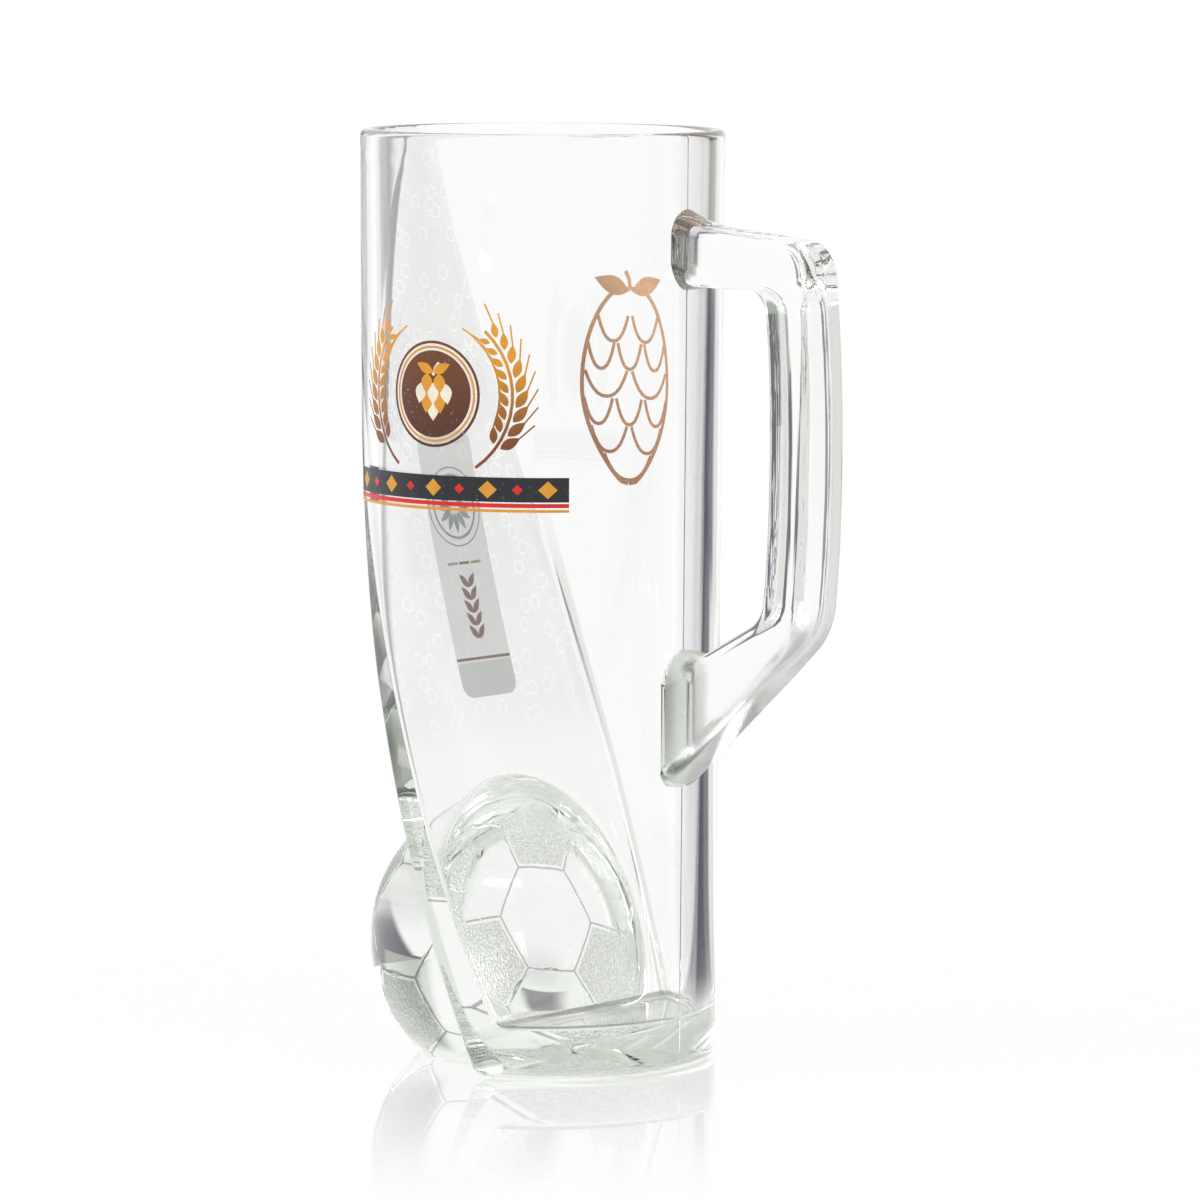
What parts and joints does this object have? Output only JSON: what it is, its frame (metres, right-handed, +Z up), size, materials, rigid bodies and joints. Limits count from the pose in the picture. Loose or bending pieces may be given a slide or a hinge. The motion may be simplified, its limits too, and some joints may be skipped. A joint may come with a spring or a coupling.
{
  "type": "beer mug",
  "caption": "Tall clear pressed-glass beer mug with an angular handle, a scooped front that ends in a football relief, a thick base and fired enamel prints.",
  "frame": {"origin": "on the barrel's axis, in the plane of the table that the mug stands on", "axes": "+Z up along the barrel, +X from the axis to the handle, -X to the scooped front and the ball"},
  "size_m": [0.117, 0.0805, 0.204],
  "materials": {
    "clear_glass": "clear fire-polished pressed glass, faintly green where it is thick",
    "brown_enamel": "fired glossy dark brown enamel print",
    "amber_enamel": "fired glossy amber to brown enamel print",
    "navy_enamel": "fired glossy near-black enamel print with red and gold",
    "copper_enamel": "fired copper-coloured line print",
    "pale_enamel": "fired translucent pale grey panel with fine white marks",
    "label_enamel": "fired opaque light grey label with a thin dark red line and a grey-green foot band"
  },
  "bodies": {
    "root": {"barrel": "clear_glass", "base": "clear_glass", "ball": "clear_glass", "handle": "clear_glass", "front_medallion": "brown_enamel", "front_ear_left": "amber_enamel", "front_ear_right": "amber_enamel", "front_band": "navy_enamel", "rear_hop": "copper_enamel", "scoop_panel": "pale_enamel", "scoop_label": "label_enamel"}
  },
  "joints": []
}
